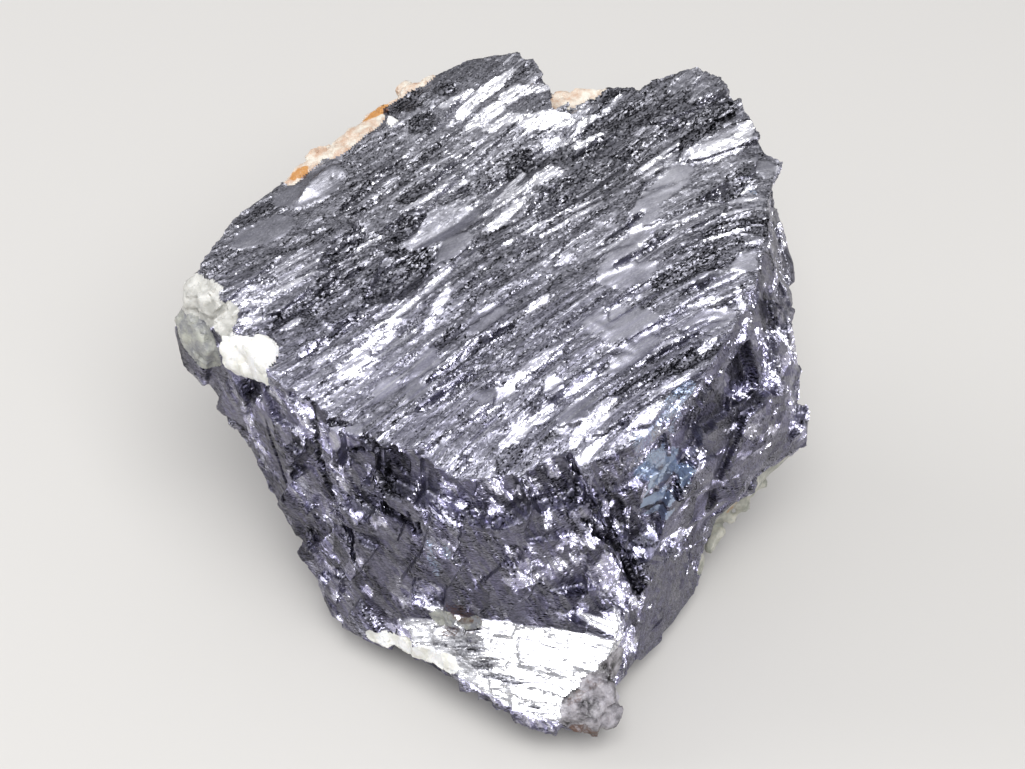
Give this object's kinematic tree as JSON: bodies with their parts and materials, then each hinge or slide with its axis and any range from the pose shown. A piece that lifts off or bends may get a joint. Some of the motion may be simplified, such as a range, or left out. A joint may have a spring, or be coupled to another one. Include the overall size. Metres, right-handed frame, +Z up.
{
  "type": "galena specimen",
  "caption": "Broken lump of galena with a long-bladed cleaved top, steep stepped sides, a cleavage shelf at the front and white gangue at one corner.",
  "frame": {"origin": "middle of the specimen's footprint box, on the surface it rests on", "axes": "+Z up from the resting face; the broken front with the shelf looks along -Y; the widest way across the lump is along X"},
  "size_m": [0.0584, 0.0532, 0.039],
  "materials": {
    "galena": "bright metallic cleavage"
  },
  "bodies": {
    "root": {"galena_lump": "galena"}
  },
  "joints": []
}
